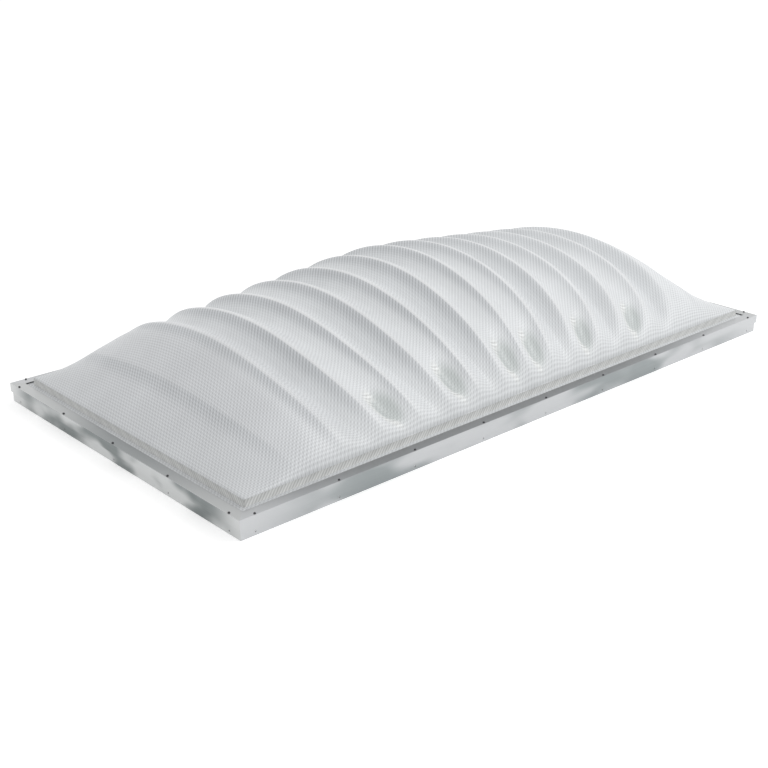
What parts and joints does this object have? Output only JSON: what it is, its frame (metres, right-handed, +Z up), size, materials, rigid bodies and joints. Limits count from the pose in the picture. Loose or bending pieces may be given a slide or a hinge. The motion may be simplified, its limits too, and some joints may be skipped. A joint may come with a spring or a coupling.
{
  "type": "roof skylight",
  "caption": "Curb-mounted roof skylight with a ribbed, prismatic acrylic dome over an inner lens, clamped into a mitred aluminium frame with a drilled skirt.",
  "frame": {"origin": "centre of the frame's outline, level with the skirt's foot", "axes": "+X along the long side, +Y along the short side, +Z up, out of the roof"},
  "size_m": [2.5516, 1.3324, 0.4411],
  "materials": {
    "rail_aluminium": "mill",
    "retainer_aluminium": "mill",
    "black_rubber": "matte",
    "grey_foam": "matte",
    "prismatic_acrylic": "translucent prismatic",
    "lens_acrylic": "translucent",
    "dark_screws": "dark coating"
  },
  "bodies": {
    "root": {"frame_rail_front": "rail_aluminium", "retainer_front": "retainer_aluminium", "dome_gasket_front": "black_rubber", "spacer_tape_front": "black_rubber", "bedding_tape_front": "black_rubber", "curb_seal_front": "grey_foam", "frame_rail_right": "rail_aluminium", "retainer_right": "retainer_aluminium", "dome_gasket_right": "black_rubber", "spacer_tape_right": "black_rubber", "bedding_tape_right": "black_rubber", "curb_seal_right": "grey_foam", "frame_rail_back": "rail_aluminium", "retainer_back": "retainer_aluminium", "dome_gasket_back": "black_rubber", "spacer_tape_back": "black_rubber", "bedding_tape_back": "black_rubber", "curb_seal_back": "grey_foam", "frame_rail_left": "rail_aluminium", "retainer_left": "retainer_aluminium", "dome_gasket_left": "black_rubber", "spacer_tape_left": "black_rubber", "bedding_tape_left": "black_rubber", "curb_seal_left": "grey_foam", "outer_dome": "prismatic_acrylic", "inner_lens": "lens_acrylic", "retainer_screws": "dark_screws"}
  },
  "joints": []
}
